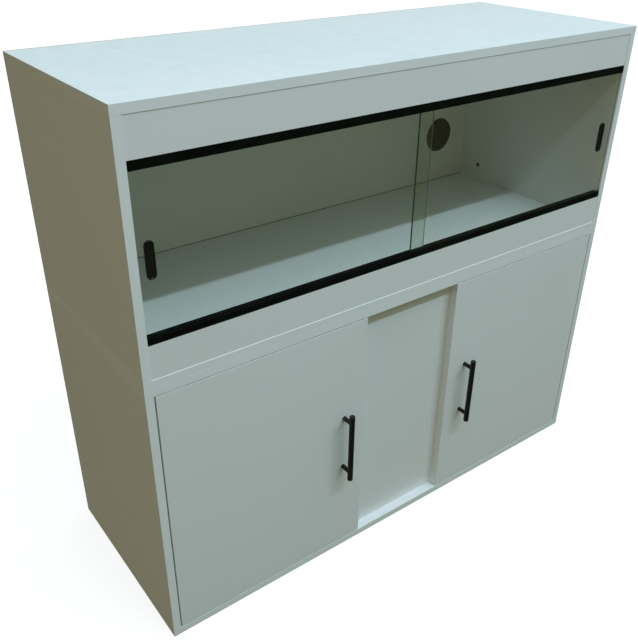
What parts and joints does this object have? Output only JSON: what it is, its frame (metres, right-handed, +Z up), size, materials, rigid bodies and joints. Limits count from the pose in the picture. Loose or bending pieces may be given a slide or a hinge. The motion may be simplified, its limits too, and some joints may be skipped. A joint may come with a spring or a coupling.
{
  "type": "vivarium on cabinet stand",
  "caption": "White board vivarium with sliding glass fronts, standing on a matching cabinet with inset hinged doors and a recessed centre panel.",
  "frame": {"origin": "on the floor, at the middle of the width and of the depth measured from the handle bars to the back panel", "axes": "+X to the right seen from the front, +Y to the back, +Z up; the front faces -Y"},
  "size_m": [1.2, 0.482, 1.064],
  "materials": {
    "white_board": "white melamine facing and edging, satin",
    "hardboard": "white lacquered hardboard",
    "black_plastic": "extruded and moulded, satin",
    "black_gloss_plastic": "moulded, smooth",
    "sheet_glass": "4 mm float glass with ground edges",
    "black_metal": "satin black powder coat",
    "hinge_steel": "nickel plated pressing",
    "steel_fixings": "zinc plated",
    "dowel_wood": "fluted beech"
  },
  "bodies": {
    "carcass": {"vivarium_top": "white_board", "vivarium_left_side": "white_board", "vivarium_right_side": "white_board", "vivarium_floor": "white_board", "vivarium_back": "hardboard", "top_fascia": "white_board", "bottom_fascia": "white_board", "top_glass_track": "black_plastic", "bottom_glass_track": "black_plastic", "round_vent": "black_plastic", "vivarium_dowels": "dowel_wood", "vivarium_back_nails": "steel_fixings", "cabinet_top": "white_board", "cabinet_left_side": "white_board", "cabinet_right_side": "white_board", "cabinet_floor": "white_board", "cabinet_back": "hardboard", "centre_panel": "white_board", "cabinet_dowels": "dowel_wood", "cabinet_back_nails": "steel_fixings", "unit_joining_screws": "steel_fixings", "door_stops": "white_board", "left_divider": "white_board", "right_divider": "white_board", "left_hinge_arms": "hinge_steel", "left_hinge_plates": "hinge_steel", "left_plate_screws": "steel_fixings", "right_hinge_arms": "hinge_steel", "right_hinge_plates": "hinge_steel", "right_plate_screws": "steel_fixings"},
    "left_pane": {"left_glass": "sheet_glass", "left_finger_pull": "black_gloss_plastic"},
    "right_pane": {"right_glass": "sheet_glass", "right_finger_pull": "black_gloss_plastic"},
    "left_cabinet_door": {"left_door": "white_board", "left_handle_bar": "black_metal", "left_handle_posts": "black_metal", "left_handle_screws": "steel_fixings", "left_hinge_cups": "hinge_steel", "left_hinge_pins": "hinge_steel", "left_cup_screws": "steel_fixings"},
    "right_cabinet_door": {"right_door": "white_board", "right_handle_bar": "black_metal", "right_handle_posts": "black_metal", "right_handle_screws": "steel_fixings", "right_hinge_cups": "hinge_steel", "right_hinge_pins": "hinge_steel", "right_cup_screws": "steel_fixings"}
  },
  "joints": [
    {"name": "left_door_hinge", "type": "hinge", "parent": "carcass", "child": "left_cabinet_door", "pos_m": [-0.564, -0.2005, 0.3], "axis": [0, 0, -1], "range_deg": [0, 95]},
    {"name": "right_door_hinge", "type": "hinge", "parent": "carcass", "child": "right_cabinet_door", "pos_m": [0.564, -0.2005, 0.3], "axis": [0, 0, 1], "range_deg": [0, 95]},
    {"name": "left_glass_slide", "type": "slide", "parent": "carcass", "child": "left_pane", "axis": [1, 0, 0], "range_m": [0, 0.56]},
    {"name": "right_glass_slide", "type": "slide", "parent": "carcass", "child": "right_pane", "axis": [-1, 0, 0], "range_m": [0, 0.56]}
  ]
}
